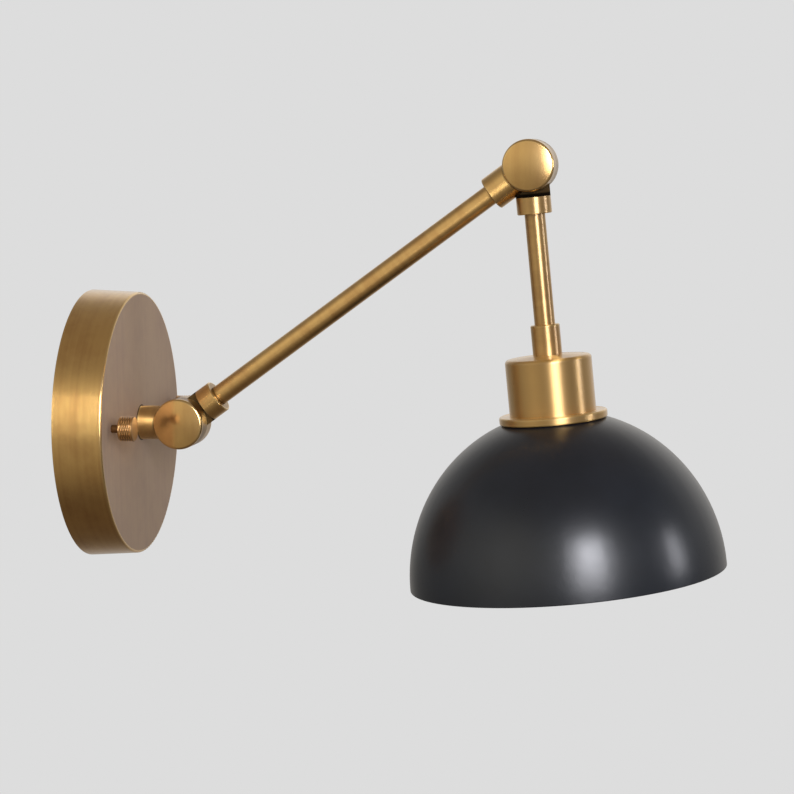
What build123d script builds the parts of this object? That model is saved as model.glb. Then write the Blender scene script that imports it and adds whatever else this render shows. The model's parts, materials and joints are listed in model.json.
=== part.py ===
"""Adjustable wall lamp: a round backplate, a hinged arm and a hinged head with a domed shade.

Millimetres. The origin is the centre of the backplate on the wall, +X points out of the wall and
+Z up. The arm and the head swing in the XZ plane, about pivots that lie along Y.
"""
import os
from math import asin, cos, degrees, radians, sin, sqrt, tan

from build123d import *

# Fits
fit = 0.05
shade_hole_clearance = 0.3

# Backplate
plate_diameter = 127.0
plate_depth = 23.0
plate_draft = 1.3
plate_wall = 1.5
plate_edge = 1.0

# Wall strap with its slots, studs and earth screw
strap_thickness = 2.0
strap_width = 20.0
strap_end = 8.0
strap_opening = 16.0
slot_length = 12.0
slot_width = 4.6
slot_land = 3.75
stud_diameter = 2.5
stud_inset = 17.5
stud_lift = 2.3
stud_hole_clearance = 0.2
lock_nut_width = 5.0
lock_nut_thickness = 2.0
earth_screw_diameter = 4.0
earth_flange_diameter = 9.0
earth_flange_thickness = 1.0
earth_head_width = 7.0
earth_head_thickness = 2.8

# Thumb nuts
nut_diameter = 11.6
nut_length = 6.8
nut_shoulder_diameter = 3.8
nut_shoulder_length = 4.2
nut_roof = 2.0
nut_edge = 0.8

# Knuckles
disc_diameter = 24.0
disc_gap = 0.3
disc_clearance = 2.0
disc_edge = 1.4
web = 2.45
cap_rim = 1.3
cap_crown = 1.4
cap_ring_depth = 1.2
cap_ring_wall = 1.5
chamber_wall = 2.6
collar_diameter = 16.0
collar_length = 7.7
collar_clearance = 0.28
collar_edge = 0.4
hollow_radius = 150.0
socket_floor = 1.2
neck_length = 5.7
wire_hole_diameter = 4.4
wire_hole_inset = 1.9

# Hollow pivots
spigot_diameter = 10.0
spigot_wall = 1.7
spigot_end = 0.4
friction_washer_diameter = 18.0
friction_washer_recess = 0.65
spring_washer_diameter = 16.0
spring_washer_thickness = 0.6
pivot_nut_width = 14.0
pivot_nut_thickness = 2.5
pivot_nut_clearance = 0.3

# Neck fixing behind the backplate
shank_diameter = 10.0
shank_wall = 1.6
shank_end = 2.0
neck_washer_diameter = 20.0
neck_washer_thickness = 1.2
neck_nut_width = 14.0
neck_nut_thickness = 4.0

# Arm and head tubes
arm_length = 206.1
arm_angle = 35.4
head_tilt = 4.7
head_drop = 73.2
tube_diameter = 9.5
tube_wall = 1.0

# Lampholder, from its bore outwards, and the collar above it
socket_bore = 26.4
shell_wall = 0.5
shell_length = 30.0
shell_flange_bore = 12.0
shell_heel_margin = 0.5
insulator_wall = 3.6
insulator_floor = 5.0
insulator_lip = 4.0
insulator_chamfer_margin = 0.4
skirt_wall = 1.35
skirt_engagement = 12.0
cup_wall = 1.2
cup_height = 26.9
cup_crown = 1.05
cup_seat_diameter = 17.0
cup_edge = 1.8
holder_collar_diameter = 13.5
holder_collar_length = 14.0
holder_collar_seat = 7.0
nipple_diameter = 10.0
nipple_wall = 1.6
nipple_end = 1.5
holder_nut_width = 14.0
holder_nut_thickness = 3.0
wiring_wall = 2.4
wiring_clearance = 1.2
contact_diameter = 7.0
contact_height = 2.5
contact_edge = 1.0
rivet_diameter = 3.0

# Terminals
terminal_offset = 9.0
terminal_width = 7.0
terminal_end = 3.0
terminal_thickness = 1.0
terminal_screw_diameter = 3.0
terminal_screw_depth = 4.0
terminal_head_diameter = 5.5
terminal_head_thickness = 2.0

# Shade and its two rings
ring_projection = 5.0
ring_thickness = 3.6
ring_edge = 0.8
ring_overhang = 1.7
shade_diameter = 146.9
shade_height = 73.1
shade_wall = 1.2
retaining_ring_inset = 1.0
retaining_ring_thickness = 4.0
retaining_ring_edge = 0.5
rim_edge = 0.4

# Wires
wire_diameter = 1.8
wire_clearance = 0.1
wire_tail = 1.0
wire_bend = 2.5

# Radii of the round pieces
plate_face_radius = plate_diameter / 2 - plate_draft
stud_radius = stud_diameter / 2
disc_radius = disc_diameter / 2
collar_radius = collar_diameter / 2
spigot_radius = spigot_diameter / 2
spigot_bore = spigot_radius - spigot_wall
shank_radius = shank_diameter / 2
shank_bore = shank_radius - shank_wall
tube_radius = tube_diameter / 2
tube_bore = tube_radius - tube_wall
nipple_radius = nipple_diameter / 2
nipple_bore = nipple_radius - nipple_wall
wire_radius = wire_diameter / 2
shell_bore = socket_bore / 2
shell_radius = shell_bore + shell_wall
insulator_bore = shell_radius + fit
insulator_radius = insulator_bore + insulator_wall
skirt_bore = insulator_radius + fit
skirt_radius = skirt_bore + skirt_wall
cup_bore = skirt_radius + fit
cup_radius = cup_bore + cup_wall
ring_radius = cup_radius + ring_projection
shade_radius = shade_diameter / 2
shade_top_radius = ring_radius - ring_overhang

# Knuckle layers, from the joint's mid-plane outwards
web_top = disc_gap / 2 + web
spring_top = web_top + spring_washer_thickness
pivot_nut_top = spring_top + pivot_nut_thickness
spigot_top = pivot_nut_top + spigot_end
cap_seat = spigot_top + pivot_nut_clearance + cap_ring_depth
chamber_radius = disc_radius - chamber_wall

# Distances from a pivot along its collar: the hollowed end, the tube's stop and the far end
fold_angle = radians(90 - arm_angle + head_tilt)
hollow_sag = hollow_radius - sqrt(hollow_radius**2 - collar_radius**2)
fold_reach = collar_radius / tan(fold_angle / 2) + collar_clearance / sin(fold_angle)
hollow_end = max(fold_reach + hollow_sag, disc_radius + disc_clearance)
tube_stop = hollow_end + socket_floor
collar_end = hollow_end + collar_length
neck_end = hollow_end + neck_length
shank_tip = neck_end + plate_wall + neck_washer_thickness + neck_nut_thickness + shank_end

# Pivots and directions
across = Vector(0, 1, 0)
outward = Vector(1, 0, 0)
arm_direction = Vector(cos(radians(arm_angle)), 0, sin(radians(arm_angle)))
head_direction = Vector(sin(radians(head_tilt)), 0, -cos(radians(head_tilt)))
lower_pivot = Vector(plate_depth + neck_end, 0, 0)
upper_pivot = lower_pivot + arm_direction * arm_length
head_axis = Axis(upper_pivot, head_direction)

# Distances from the upper pivot along the head
cup_top = head_drop + holder_collar_length
cup_inside = cup_top + cup_wall
cup_bottom = cup_top + cup_height
ring_bottom = cup_bottom + ring_thickness
shade_inside = ring_bottom + shade_wall
shade_rim = ring_bottom + shade_height
holder_nut_bottom = cup_inside + holder_nut_thickness
nipple_tip = holder_nut_bottom + nipple_end
terminal_head_top = nipple_tip + wiring_clearance
terminal_head_seat = terminal_head_top + terminal_head_thickness
terminal_top = terminal_head_seat + wire_diameter
floor_top = terminal_top + terminal_thickness
floor_bottom = floor_top + insulator_floor
skirt_top = cup_bottom - skirt_engagement
shell_end = floor_bottom + shell_length
holder_end = shell_end + insulator_lip

# Places on the wall side
plate_inside = plate_depth - plate_wall
stud_place = plate_diameter / 2 - stud_inset
slot_place = stud_place - stud_radius - slot_land - slot_length / 2
earth_place = (strap_opening / 2 + slot_place - slot_length / 2) / 2
nut_face = plate_depth + nut_shoulder_length
nut_tip = nut_face + nut_length
stud_tip = nut_tip - nut_roof


def section(origin, direction):
    """Plane through an axis: local x is the radius, along Y, and local y the distance along the axis."""
    return Plane(origin=origin, x_dir=across, z_dir=across.cross(direction))


def cross_section(origin, direction, distance):
    """Plane square to an axis at a distance along it, with its local x along Y."""
    return Plane(origin=origin + direction * distance, x_dir=across, z_dir=direction)


def pivot_plane(pivot, direction, height):
    """Plane square to a pivot at a height along Y, with its local x along the collar."""
    return Plane(origin=pivot + across * height, x_dir=direction, z_dir=across)


def save(piece, name):
    """Labels a finished piece and writes it."""
    piece.label = name
    export_step(piece, f"parts/{name}.step")


def turned(outline, origin, direction):
    """A solid of revolution from (radius, distance) points."""
    with BuildPart() as piece:
        with BuildSketch(section(origin, direction)):
            with BuildLine():
                Polyline(*outline, close=True)
            make_face()
        revolve(axis=Axis(origin, direction))
    return piece.part


def sleeve(plane, outer, inner, length):
    """A plain tube, ring or washer that stands on a plane."""
    with BuildPart() as piece:
        with BuildSketch(plane):
            Circle(outer)
            Circle(inner, mode=Mode.SUBTRACT)
        extrude(amount=length)
    return piece.part


def hex_nut(plane, width, bore, thickness):
    """A hexagon nut, width across flats, that stands on a plane."""
    with BuildPart() as nut:
        with BuildSketch(plane):
            RegularPolygon(width / 2, 6, major_radius=False)
            Circle(bore, mode=Mode.SUBTRACT)
        extrude(amount=thickness)
    return nut.part


def knuckle(tail, pivot, direction, side):
    """Half of a joint: a disc on one side of Y = 0 with a round tail, hollowed to clear the other disc.

    side is -1 for the half towards -Y, which carries the hollow spigot, and 1 for the other.
    """
    entry = pivot + direction * (tube_stop + socket_floor) + across * side * wire_hole_diameter / 2
    chamber_middle = (web_top + cap_seat) / 2
    exit_point = pivot + direction * (chamber_radius - wire_hole_inset) + across * side * chamber_middle
    slant = exit_point - entry
    with BuildPart() as half:
        with BuildSketch(section(pivot, direction)):
            with BuildLine():
                Polyline(*tail, close=True)
            make_face()
        revolve(axis=Axis(pivot, direction))
        with BuildSketch(pivot_plane(pivot, direction, side * disc_gap / 2)):
            with Locations((hollow_end - hollow_radius, 0)):
                Circle(hollow_radius)
        extrude(amount=-side * collar_diameter, mode=Mode.SUBTRACT)
        with BuildSketch(pivot_plane(pivot, direction, side * disc_gap / 2)):
            Circle(disc_radius)
        extrude(amount=side * (cap_seat - disc_gap / 2))
        with BuildSketch(pivot_plane(pivot, direction, side * cap_seat)):
            Circle(disc_radius)
        extrude(amount=side * collar_diameter, mode=Mode.SUBTRACT)
        with BuildSketch(pivot_plane(pivot, direction, side * web_top)):
            Circle(chamber_radius)
        extrude(amount=side * collar_diameter, mode=Mode.SUBTRACT)
        with BuildSketch(Plane(origin=entry, z_dir=slant)):
            Circle(wire_hole_diameter / 2)
        extrude(amount=slant.length, mode=Mode.SUBTRACT)
        if side < 0:
            with BuildSketch(pivot_plane(pivot, direction, -disc_gap / 2)):
                Circle(friction_washer_diameter / 2 + fit)
            extrude(amount=-friction_washer_recess, mode=Mode.SUBTRACT)
            with BuildSketch(pivot_plane(pivot, direction, -web_top)):
                Circle(spigot_radius)
            extrude(amount=web_top + spigot_top)
            with BuildSketch(pivot_plane(pivot, direction, -web_top)):
                Circle(spigot_bore)
            extrude(amount=web_top + spigot_top, mode=Mode.SUBTRACT)
        else:
            with BuildSketch(pivot_plane(pivot, direction, disc_gap / 2)):
                Circle(spigot_radius + fit)
            extrude(amount=web, mode=Mode.SUBTRACT)
    return half.part


def knuckle_cap(pivot, direction, side):
    """Domed lid of a knuckle's wire chamber, with a ring that plugs into it."""
    ring = chamber_radius - fit
    dome_radius = (disc_radius**2 + cap_crown**2) / (2 * cap_crown)
    dome_centre = cap_seat + cap_rim + cap_crown - dome_radius
    with BuildPart() as lid:
        with BuildSketch(pivot_plane(pivot, direction, side * cap_seat)):
            Circle(disc_radius)
        extrude(amount=side * (cap_rim + cap_crown))
        with Locations(pivot + across * side * dome_centre):
            Sphere(dome_radius, mode=Mode.INTERSECT)
        circles = lid.edges().filter_by(lambda edge: edge.is_closed)
        fillet(circles.sort_by(Axis(pivot, across * side))[-1], radius=disc_edge)
        with BuildSketch(pivot_plane(pivot, direction, side * cap_seat)):
            Circle(ring)
            Circle(ring - cap_ring_wall, mode=Mode.SUBTRACT)
        extrude(amount=-side * cap_ring_depth)
    return lid.part


def wire(distance_from, distance_to, bore, side, origin, direction):
    """A straight insulated wire that lies along the wall of a bore, on one side of it."""
    place = bore - wire_radius - wire_clearance
    with BuildPart() as strand:
        with BuildSketch(cross_section(origin, direction, distance_from)):
            with Locations((0, side * place)):
                Circle(wire_radius)
        extrude(amount=distance_to - distance_from)
    return strand.part


os.makedirs("parts", exist_ok=True)
wall = Vector(0, 0, 0)
stud_sides = (-1, 1)
stud_spots = [(side * stud_place, stud_lift) for side in stud_sides]

# Backplate: a drafted pan, open to the wall
with BuildPart() as backplate:
    with BuildSketch(section(wall, outward)):
        with BuildLine():
            Polyline(
                (0, plate_depth),
                (plate_face_radius, plate_depth),
                (plate_diameter / 2, 0),
                (plate_diameter / 2 - plate_wall, 0),
                (plate_face_radius - plate_wall, plate_inside),
                (0, plate_inside),
                close=True,
            )
        make_face()
    revolve(axis=Axis(wall, outward))
    fillet(backplate.edges().group_by(Axis.X)[-1], radius=plate_edge)
    with BuildSketch(cross_section(wall, outward, plate_inside)):
        Circle(shank_radius + fit)
        with Locations(*stud_spots):
            Circle(stud_radius + stud_hole_clearance)
    extrude(amount=plate_wall, mode=Mode.SUBTRACT)
save(backplate.part, "backplate")

# Wall strap: a bar with two slots for the wall box's screws
with BuildPart() as mounting_strap:
    with BuildSketch(cross_section(wall, outward, 0)):
        SlotOverall(2 * (stud_place + strap_end), strap_width)
        Circle(strap_opening / 2, mode=Mode.SUBTRACT)
        with Locations(*[(side * slot_place, 0) for side in stud_sides]):
            SlotOverall(slot_length, slot_width, mode=Mode.SUBTRACT)
        with Locations(*stud_spots):
            Circle(stud_radius + fit, mode=Mode.SUBTRACT)
        with Locations((earth_place, 0)):
            Circle(earth_screw_diameter / 2 + fit, mode=Mode.SUBTRACT)
    extrude(amount=strap_thickness)
save(mounting_strap.part, "mounting_strap")

# Threaded studs that stand out of the strap
with BuildPart() as strap_studs:
    with BuildSketch(cross_section(wall, outward, 0)):
        with Locations(*stud_spots):
            Circle(stud_radius)
    extrude(amount=stud_tip)
save(strap_studs.part, "strap_studs")

# Nuts that lock the studs to the strap
with BuildPart() as stud_lock_nuts:
    with BuildSketch(cross_section(wall, outward, strap_thickness)):
        with Locations(*stud_spots):
            RegularPolygon(lock_nut_width / 2, 6, major_radius=False)
            Circle(stud_radius + fit, mode=Mode.SUBTRACT)
    extrude(amount=lock_nut_thickness)
save(stud_lock_nuts.part, "stud_lock_nuts")

# Earth screw in the strap, with a hexagon head on a flange
with BuildPart() as earth_screw:
    with BuildSketch(cross_section(wall, outward, 0)):
        with Locations((earth_place, 0)):
            Circle(earth_screw_diameter / 2)
    extrude(amount=strap_thickness)
    with BuildSketch(cross_section(wall, outward, strap_thickness)):
        with Locations((earth_place, 0)):
            Circle(earth_flange_diameter / 2)
    extrude(amount=earth_flange_thickness)
    with BuildSketch(cross_section(wall, outward, strap_thickness + earth_flange_thickness)):
        with Locations((earth_place, 0)):
            RegularPolygon(earth_head_width / 2, 6, major_radius=False)
    extrude(amount=earth_head_thickness)
save(earth_screw.part, "earth_screw")

# Thumb nuts: a round barrel on a narrow shoulder that presses on the backplate
for name, side in (("thumb_nut_front", -1), ("thumb_nut_rear", 1)):
    stud_foot = Vector(0, side * stud_place, stud_lift)
    with BuildPart() as thumb_nut:
        with BuildSketch(cross_section(stud_foot, outward, plate_depth)):
            Circle(nut_shoulder_diameter / 2)
        extrude(amount=nut_shoulder_length)
        with BuildSketch(cross_section(stud_foot, outward, nut_face)):
            Circle(nut_diameter / 2)
        extrude(amount=nut_length)
        fillet(thumb_nut.edges().group_by(Axis.X)[-1], radius=nut_edge)
        with BuildSketch(cross_section(stud_foot, outward, plate_depth)):
            Circle(stud_radius + fit)
        extrude(amount=stud_tip + fit - plate_depth, mode=Mode.SUBTRACT)
    save(thumb_nut.part, name)

# Lower joint: the neck's half, fixed through the backplate by its hollow shank
neck_tail = [
    (0, 0),
    (collar_radius, 0),
    (collar_radius, neck_end),
    (shank_radius, neck_end),
    (shank_radius, shank_tip),
    (shank_bore, shank_tip),
    (shank_bore, tube_stop),
    (0, tube_stop),
]
save(knuckle(neck_tail, lower_pivot, -outward, -1), "base_knuckle")
save(knuckle_cap(lower_pivot, -outward, -1), "base_knuckle_cap")

neck_washer_plane = cross_section(wall, -outward, -plate_inside)
neck_nut_plane = cross_section(wall, -outward, neck_washer_thickness - plate_inside)
neck_bore = shank_radius + fit
save(
    sleeve(neck_washer_plane, neck_washer_diameter / 2, neck_bore, neck_washer_thickness),
    "neck_washer",
)
save(hex_nut(neck_nut_plane, neck_nut_width, neck_bore, neck_nut_thickness), "neck_nut")

# The arm's two halves, its tube, and the head's half of the upper joint
tube_seat = tube_radius + fit
tube_tail = [
    (0, 0),
    (collar_radius, 0),
    (collar_radius, collar_end - collar_edge),
    (collar_radius - collar_edge, collar_end),
    (tube_seat, collar_end),
    (tube_seat, tube_stop),
    (0, tube_stop),
]
save(knuckle(tube_tail, lower_pivot, arm_direction, 1), "arm_lower_knuckle")
save(knuckle_cap(lower_pivot, arm_direction, 1), "arm_lower_cap")
save(knuckle(tube_tail, upper_pivot, -arm_direction, -1), "arm_upper_knuckle")
save(knuckle_cap(upper_pivot, -arm_direction, -1), "arm_upper_cap")
save(knuckle(tube_tail, upper_pivot, head_direction, 1), "head_knuckle")
save(knuckle_cap(upper_pivot, head_direction, 1), "head_knuckle_cap")

arm_tube_foot = cross_section(lower_pivot, arm_direction, tube_stop)
arm_tube_length = arm_length - 2 * tube_stop
save(sleeve(arm_tube_foot, tube_radius, tube_bore, arm_tube_length), "arm_tube")

head_tube_foot = cross_section(upper_pivot, head_direction, tube_stop)
head_tube_end = head_drop + holder_collar_seat
save(sleeve(head_tube_foot, tube_radius, tube_bore, head_tube_end - tube_stop), "head_tube")

# Friction washer, spring washer and nut on each hollow pivot
washer_bore = spigot_radius + fit
friction_washer_thickness = friction_washer_recess + disc_gap
for joint, pivot in (("lower", lower_pivot), ("upper", upper_pivot)):
    recess_floor = pivot_plane(pivot, outward, -disc_gap / 2 - friction_washer_recess)
    spring_seat = pivot_plane(pivot, outward, web_top)
    nut_seat = pivot_plane(pivot, outward, spring_top)
    save(
        sleeve(recess_floor, friction_washer_diameter / 2, washer_bore, friction_washer_thickness),
        f"{joint}_friction_washer",
    )
    save(
        sleeve(spring_seat, spring_washer_diameter / 2, washer_bore, spring_washer_thickness),
        f"{joint}_spring_washer",
    )
    save(
        hex_nut(nut_seat, pivot_nut_width, washer_bore, pivot_nut_thickness),
        f"{joint}_pivot_nut",
    )

# Collar between the head tube and the lampholder's cup, with the nipple that joins them
nipple_seat = nipple_radius + fit
holder_collar_outline = [
    (tube_seat, head_drop),
    (holder_collar_diameter / 2, head_drop),
    (holder_collar_diameter / 2, cup_top),
    (nipple_seat, cup_top),
    (nipple_seat, head_tube_end),
    (tube_seat, head_tube_end),
]
with BuildPart() as holder_collar:
    add(turned(holder_collar_outline, upper_pivot, head_direction))
    rim = holder_collar.edges().group_by(head_axis)[0].sort_by(SortBy.RADIUS)[-1]
    chamfer(rim, length=collar_edge)
save(holder_collar.part, "holder_collar")

nipple_foot = cross_section(upper_pivot, head_direction, head_tube_end)
nipple_length = nipple_tip - head_tube_end
save(sleeve(nipple_foot, nipple_radius, nipple_bore, nipple_length), "holder_nipple")
holder_nut_seat = cross_section(upper_pivot, head_direction, cup_inside)
save(
    hex_nut(holder_nut_seat, holder_nut_width, nipple_seat, holder_nut_thickness),
    "holder_nut",
)

# Lampholder: brass cup, domed around a flat seat for its collar
cup_seat = cup_seat_diameter / 2
cup_dome_depth = (cup_radius**2 - cup_seat**2 + cup_crown**2) / (2 * cup_crown)
cup_dome_radius = sqrt(cup_seat**2 + cup_dome_depth**2)
with BuildPart() as socket_cup:
    with BuildSketch(cross_section(upper_pivot, head_direction, cup_top)):
        Circle(cup_radius)
    extrude(amount=cup_height)
    with Locations(upper_pivot + head_direction * (cup_top + cup_dome_depth)):
        Sphere(cup_dome_radius, rotation=(90, 0, 0), mode=Mode.INTERSECT)
    circles = socket_cup.edges().filter_by(lambda edge: edge.is_closed).sort_by(head_axis)
    fillet(circles[1], radius=cup_edge)
    offset(amount=-cup_wall, openings=socket_cup.faces().sort_by(head_axis)[-1])
    with BuildSketch(cross_section(upper_pivot, head_direction, cup_top)):
        Circle(nipple_seat)
    extrude(amount=cup_wall, mode=Mode.SUBTRACT)
save(socket_cup.part, "socket_cup")

# Porcelain insulator, threaded skirt, screw shell and contact
insulator_top = cup_inside + cup_crown
insulator_top_radius = cup_bore - fit
insulator_chamfer = cup_edge - cup_wall + insulator_chamfer_margin
wiring_radius = insulator_radius - wiring_wall
rivet_radius = rivet_diameter / 2
terminal_screw_radius = terminal_screw_diameter / 2
insulator_outline = [
    (wiring_radius, insulator_top),
    (insulator_top_radius - insulator_chamfer, insulator_top),
    (insulator_top_radius, insulator_top + insulator_chamfer),
    (insulator_top_radius, skirt_top),
    (insulator_radius, skirt_top),
    (insulator_radius, holder_end),
    (insulator_bore, holder_end),
    (insulator_bore, floor_bottom),
    (rivet_radius + fit, floor_bottom),
    (rivet_radius + fit, floor_top),
    (wiring_radius, floor_top),
]
terminal_places = [(side * terminal_offset, 0) for side in (-1, 1)]
with BuildPart() as insulator:
    add(turned(insulator_outline, upper_pivot, head_direction))
    with BuildSketch(cross_section(upper_pivot, head_direction, floor_top)):
        with Locations(*terminal_places):
            Circle(terminal_screw_radius + fit)
    extrude(amount=terminal_screw_depth, mode=Mode.SUBTRACT)
save(insulator.part, "insulator")

skirt_foot = cross_section(upper_pivot, head_direction, skirt_top)
save(sleeve(skirt_foot, skirt_radius, skirt_bore, holder_end - skirt_top), "holder_skirt")

contact_radius = contact_diameter / 2
contact_tip = floor_bottom + contact_height
shell_floor = floor_bottom + shell_wall
shell_heel = contact_tip + shell_heel_margin - shell_floor
shell_outline = [
    (shell_flange_bore / 2, floor_bottom),
    (shell_radius - shell_heel, floor_bottom),
    (shell_radius, floor_bottom + shell_heel),
    (shell_radius, shell_end),
    (shell_bore, shell_end),
    (shell_bore, shell_floor + shell_heel),
    (shell_bore - shell_heel, shell_floor),
    (shell_flange_bore / 2, shell_floor),
]
save(turned(shell_outline, upper_pivot, head_direction), "screw_shell")

contact_outline = [
    (0, floor_top),
    (rivet_radius, floor_top),
    (rivet_radius, floor_bottom),
    (contact_radius, floor_bottom),
    (contact_radius, contact_tip - contact_edge),
    (contact_radius - contact_edge, contact_tip),
    (0, contact_tip),
]
save(turned(contact_outline, upper_pivot, head_direction), "centre_contact")

# Terminal plates on the insulator's floor: the live one reaches the contact's rivet
live_start = -rivet_diameter
live_end = terminal_offset + terminal_end
with BuildPart() as terminal_plates:
    with BuildSketch(cross_section(upper_pivot, head_direction, terminal_top)):
        with Locations(((live_start + live_end) / 2, 0)):
            Rectangle(live_end - live_start, terminal_width)
        with Locations((-terminal_offset, 0)):
            Rectangle(2 * terminal_end, terminal_width)
        with Locations(*terminal_places):
            Circle(terminal_screw_radius + fit, mode=Mode.SUBTRACT)
    extrude(amount=terminal_thickness)
save(terminal_plates.part, "terminal_plates")

with BuildPart() as terminal_screws:
    with BuildSketch(cross_section(upper_pivot, head_direction, terminal_head_top)):
        with Locations(*terminal_places):
            Circle(terminal_head_diameter / 2)
    extrude(amount=terminal_head_thickness)
    with BuildSketch(cross_section(upper_pivot, head_direction, terminal_head_seat)):
        with Locations(*terminal_places):
            Circle(terminal_screw_radius)
    extrude(amount=floor_top + terminal_screw_depth - terminal_head_seat)
save(terminal_screws.part, "terminal_screws")

# Shade: a half ellipsoid with a flat top, held between a brass ring above and a ring inside
ring_bore = skirt_radius + fit
with BuildPart() as shade_ring:
    ring_seat = cross_section(upper_pivot, head_direction, cup_bottom)
    add(sleeve(ring_seat, ring_radius, ring_bore, ring_thickness))
    circles = shade_ring.edges().filter_by(GeomType.CIRCLE).sort_by(SortBy.RADIUS)
    fillet(circles[-2:], radius=ring_edge)
save(shade_ring.part, "shade_ring")

crown = shade_height / sqrt(1 - (shade_top_radius / shade_radius) ** 2)
inner_radius = shade_radius - shade_wall
inner_crown = crown - shade_wall
outer_sweep = degrees(asin(shade_height / crown))
inner_sweep = degrees(asin((shade_height - shade_wall) / inner_crown))
rim_centre = (0, shade_rim)
shade_hole = skirt_radius + shade_hole_clearance
with BuildPart() as shade:
    with BuildSketch(section(upper_pivot, head_direction)):
        with BuildLine():
            outer = EllipticalCenterArc(rim_centre, shade_radius, crown, arc_size=-outer_sweep)
            inner = EllipticalCenterArc(rim_centre, inner_radius, inner_crown, arc_size=-inner_sweep)
            Line(outer @ 0, inner @ 0)
            Polyline(inner @ 1, (shade_hole, shade_inside), (shade_hole, ring_bottom), outer @ 1)
        make_face()
    revolve(axis=head_axis)
    fillet(shade.edges().group_by(head_axis)[-1], radius=rim_edge)
save(shade.part, "shade")

retaining_radius = shade_top_radius - shade_wall - retaining_ring_inset
retaining_outline = [
    (ring_bore, shade_inside),
    (retaining_radius, shade_inside),
    (retaining_radius, shade_inside + retaining_ring_thickness - retaining_ring_edge),
    (retaining_radius - retaining_ring_edge, shade_inside + retaining_ring_thickness),
    (ring_bore, shade_inside + retaining_ring_thickness),
]
save(turned(retaining_outline, upper_pivot, head_direction), "retaining_ring")

# Live and neutral wires: a length in each swinging body, cut short of the pivots that twist them
wire_start = tube_stop + wire_tail
wire_level = terminal_top - wire_radius
holder_wire_place = nipple_bore - wire_radius - wire_clearance
holder_wire_end = terminal_offset - terminal_screw_radius - fit
for colour, side in (("live", 1), ("neutral", -1)):
    wall_end = lower_pivot.X - wire_tail
    save(wire(wire_start, wall_end, shank_bore, side, lower_pivot, -outward), f"base_{colour}_wire")
    arm_end = arm_length - wire_start
    save(wire(wire_start, arm_end, tube_bore, side, lower_pivot, arm_direction), f"arm_{colour}_wire")
    with BuildPart() as head_wire:
        with BuildLine(section(upper_pivot, head_direction)):
            FilletPolyline(
                (side * holder_wire_place, wire_start),
                (side * holder_wire_place, wire_level),
                (side * holder_wire_end, wire_level),
                radius=wire_bend,
            )
        with BuildSketch(cross_section(upper_pivot, head_direction, wire_start)):
            with Locations((side * holder_wire_place, 0)):
                Circle(wire_radius)
        sweep()
    save(head_wire.part, f"head_{colour}_wire")
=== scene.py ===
"""Adjustable wall lamp: finishes, threaded and knurled pieces, stage and camera.

Metres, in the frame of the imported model: the origin is the centre of the backplate on the wall, +X
points out of the wall and +Z up. The arm and the head swing in the XZ plane.
"""
import json
from functools import partial
from math import ceil, cos, pi, radians, sin, tau

import bmesh
import bpy
from bpy.props import FloatProperty, FloatVectorProperty, IntProperty, PointerProperty
from mathutils import Matrix, Vector


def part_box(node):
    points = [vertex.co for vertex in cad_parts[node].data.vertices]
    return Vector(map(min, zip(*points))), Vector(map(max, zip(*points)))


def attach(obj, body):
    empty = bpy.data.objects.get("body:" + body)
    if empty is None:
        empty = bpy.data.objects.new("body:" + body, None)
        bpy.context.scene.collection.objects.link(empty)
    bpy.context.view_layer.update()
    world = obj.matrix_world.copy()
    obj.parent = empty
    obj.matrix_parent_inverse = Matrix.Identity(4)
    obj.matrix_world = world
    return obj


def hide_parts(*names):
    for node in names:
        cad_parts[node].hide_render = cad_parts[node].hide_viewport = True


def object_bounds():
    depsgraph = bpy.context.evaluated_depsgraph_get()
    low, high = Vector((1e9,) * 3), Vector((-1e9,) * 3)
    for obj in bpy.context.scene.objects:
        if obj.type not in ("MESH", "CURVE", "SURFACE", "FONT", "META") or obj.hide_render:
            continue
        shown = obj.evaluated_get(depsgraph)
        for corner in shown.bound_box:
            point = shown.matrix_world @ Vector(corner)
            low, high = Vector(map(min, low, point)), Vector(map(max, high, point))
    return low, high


bl_info = {
    "name": "Adjustable wall lamp",
    "version": (1, 0, 0),
    "blender": (4, 5, 0),
    "location": "3D View > Sidebar > Wall lamp",
    "description": "Brushed brass and satin black finishes for the wall lamp, with its studio",
    "category": "Add Mesh",
}

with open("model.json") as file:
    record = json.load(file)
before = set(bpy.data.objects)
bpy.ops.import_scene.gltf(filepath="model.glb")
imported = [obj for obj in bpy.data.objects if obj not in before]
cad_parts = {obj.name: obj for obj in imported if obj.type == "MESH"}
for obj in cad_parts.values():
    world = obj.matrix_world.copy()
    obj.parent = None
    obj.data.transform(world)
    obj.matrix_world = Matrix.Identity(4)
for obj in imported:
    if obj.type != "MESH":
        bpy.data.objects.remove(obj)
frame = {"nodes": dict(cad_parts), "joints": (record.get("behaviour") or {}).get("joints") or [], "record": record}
cad_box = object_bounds()

MM = 0.001
joint_place = {joint["name"]: Vector(joint["pos_m"]) for joint in frame["joints"]}
mount = {item["name"]: item for item in frame["record"]["mounts"]}

# Axes of the lamp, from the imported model
OUTWARD = Vector((1, 0, 0))
ACROSS = Vector((0, 1, 0))
UP = Vector((0, 0, 1))
WALL = Vector((0, 0, 0))
LOWER_PIVOT = joint_place["arm_hinge"]
UPPER_PIVOT = joint_place["head_hinge"]
ALONG_ARM = (UPPER_PIVOT - LOWER_PIVOT).normalized()
ALONG_HEAD = Vector(mount["bulb_socket"]["axis"])

# Knuckles: distances from a pivot, and radii, in millimetres
COLLAR_END, COLLAR_RADIUS, NECK_END = 22.3, 8.0, 20.3
DISC_RADIUS, DISC_INNER_FACE, DISC_OUTER_FACE, CAP_RIM = 12.0, 0.2, 7.6, 8.9
HOLLOW_END, HOLLOW_RADIUS = 14.6, 150.0
TUBE_RADIUS = 4.75

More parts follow.
